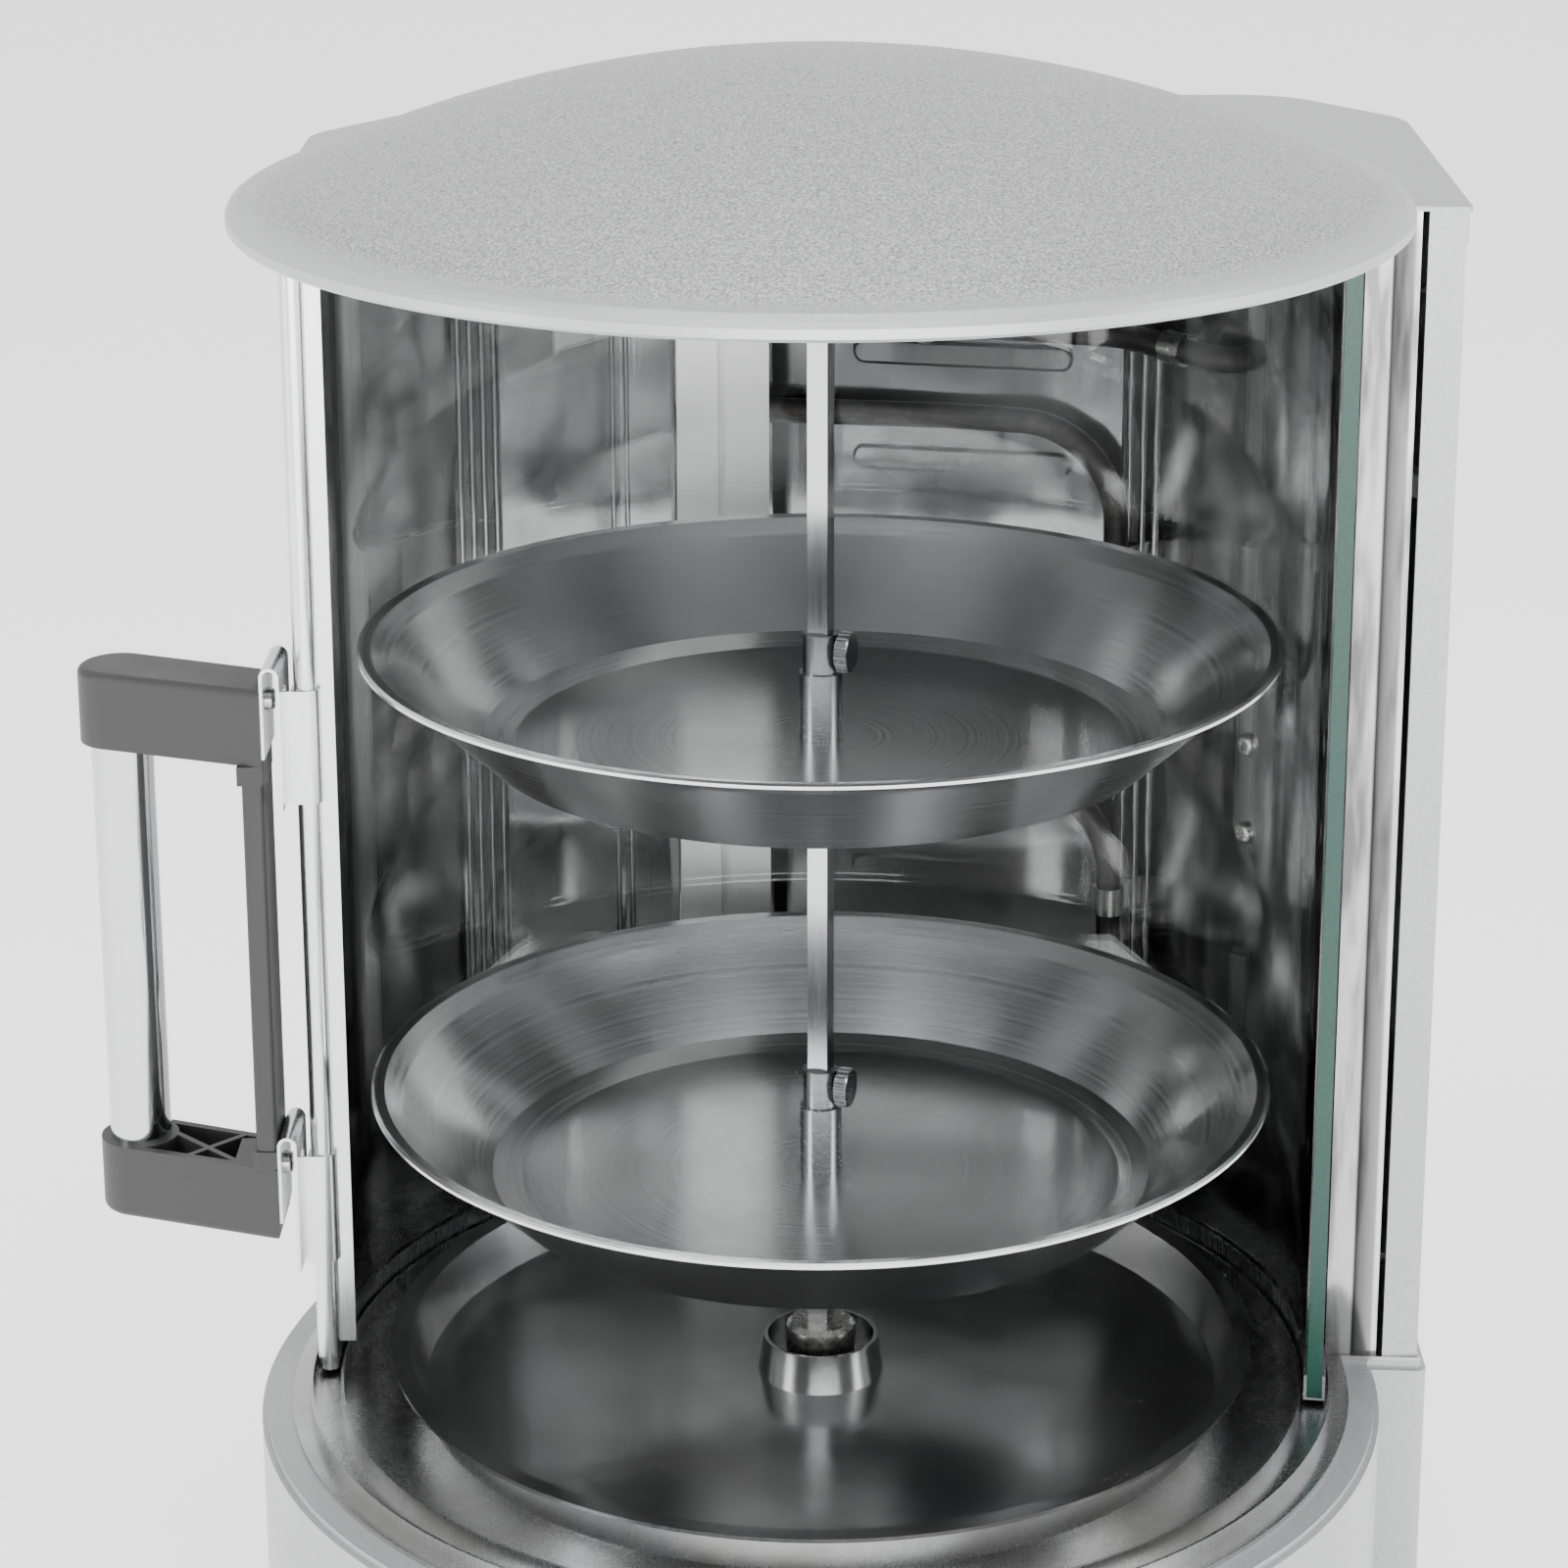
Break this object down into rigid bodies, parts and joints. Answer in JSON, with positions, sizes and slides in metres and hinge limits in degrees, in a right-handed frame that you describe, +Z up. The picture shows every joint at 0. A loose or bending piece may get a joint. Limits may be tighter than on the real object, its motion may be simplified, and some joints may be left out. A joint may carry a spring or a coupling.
{
  "type": "rotisserie oven",
  "caption": "Upright rotisserie oven with a revolving curved glass door, turning spit with two dished plates, folded reflectors and a side handle",
  "frame": {"origin": "middle of the footprint, on the table under the rubber feet", "axes": "+Z up along the spit, the door opening and controls face -Y, the door handle at rest is on -X"},
  "size_m": [0.3516, 0.337, 0.4478],
  "materials": {
    "silver_paint": "fine textured silver paint",
    "polished_steel": "bright rolled stainless sheet",
    "steel": "plain stainless steel",
    "chrome_tube": "polished tube",
    "heater_sheath": "dark oxidised sheath",
    "door_pane": "clear tempered glass, ground edges",
    "black_plastic": "fine grained moulding",
    "pale_plastic": "moulded insulator",
    "bronze": "sintered bush",
    "rubber_feet": "moulded rubber",
    "amber_lens": "clear tinted lens"
  },
  "bodies": {
    "cabinet": {"base_housing": "silver_paint", "base_plate": "steel", "cable_gland": "black_plastic", "casing_screws": "steel", "chamber_floor": "steel", "control_panel": "silver_paint", "feet": "rubber_feet", "floor_bush": "bronze", "foot_screws": "steel", "frame_spacers": "steel", "gearmotor": "steel", "heater_clamps": "steel", "heater_element": "heater_sheath", "heater_terminals": "steel", "lid": "silver_paint", "lid_screws": "steel", "motor_bracket": "steel", "pilot_lamp": "black_plastic", "pilot_lens": "amber_lens", "rear_casing": "silver_paint", "rear_cover": "silver_paint", "reflector_back": "polished_steel", "reflector_left": "polished_steel", "reflector_post": "steel", "reflector_right": "polished_steel", "reflector_screws": "steel", "selector_body": "black_plastic", "temperature_probe": "steel", "terminal_block": "pale_plastic", "thermal_cutout": "steel", "timer_body": "black_plastic", "top_bush": "bronze", "top_frame": "steel"},
    "door": {"door_glass": "door_pane", "door_tube": "steel", "door_edge_channel": "steel", "door_carrier_bottom": "steel", "door_carrier_top": "steel", "door_runners": "black_plastic", "handle_back_strip": "black_plastic", "handle_bracket_lower": "steel", "handle_bracket_upper": "steel", "handle_cap_lower": "black_plastic", "handle_cap_upper": "black_plastic", "handle_grip": "chrome_tube", "handle_screws": "steel"},
    "drive": {"drive_shaft": "steel", "drive_socket": "steel"},
    "spit": {"spit": "polished_steel"},
    "upper_plate": {"plate_upper": "polished_steel", "hub_upper": "steel"},
    "lower_plate": {"plate_lower": "polished_steel", "hub_lower": "steel"},
    "upper_thumbscrew": {"thumbscrew_upper": "steel"},
    "lower_thumbscrew": {"thumbscrew_lower": "steel"},
    "tray": {"drip_tray": "polished_steel"},
    "timer_control": {"timer_knob": "black_plastic", "timer_spindle": "steel"},
    "function_control": {"selector_knob": "black_plastic", "selector_spindle": "steel"}
  },
  "joints": [
    {"name": "door_revolve", "type": "hinge", "parent": "cabinet", "child": "door", "pos_m": [0.01411, -0.012, 0.1], "axis": [0, 0, 1], "range_deg": [0, 178]},
    {"name": "drive_turn", "type": "hinge", "parent": "cabinet", "child": "drive", "pos_m": [0.01411, -0.012, 0.1], "axis": [0, 0, 1], "continuous": true},
    {"name": "spit_lift", "type": "slide", "parent": "drive", "child": "spit", "axis": [0, 0, 1], "range_m": [0, 0.011]},
    {"name": "upper_plate_height", "type": "slide", "parent": "spit", "child": "upper_plate", "axis": [0, 0, 1], "range_m": [-0.035, 0.035]},
    {"name": "lower_plate_height", "type": "slide", "parent": "spit", "child": "lower_plate", "axis": [0, 0, 1], "range_m": [-0.03, 0.04]},
    {"name": "upper_thumbscrew_turn", "type": "hinge", "parent": "upper_plate", "child": "upper_thumbscrew", "pos_m": [0.01411, -0.012, 0.298], "axis": [0.9438, -0.3305, 0], "range_deg": [0, 360]},
    {"name": "lower_thumbscrew_turn", "type": "hinge", "parent": "lower_plate", "child": "lower_thumbscrew", "pos_m": [0.01411, -0.012, 0.18], "axis": [0.9438, -0.3305, 0], "range_deg": [0, 360]},
    {"name": "drip_tray_lift", "type": "slide", "parent": "cabinet", "child": "tray", "axis": [0, 0, 1], "range_m": [0, 0.03]},
    {"name": "timer_turn", "type": "hinge", "parent": "cabinet", "child": "timer_control", "pos_m": [0.04311, -0.162, 0.047], "axis": [0, 1, 0], "range_deg": [0, 300]},
    {"name": "function_turn", "type": "hinge", "parent": "cabinet", "child": "function_control", "pos_m": [-0.01489, -0.162, 0.047], "axis": [0, 1, 0], "range_deg": [0, 180]}
  ]
}
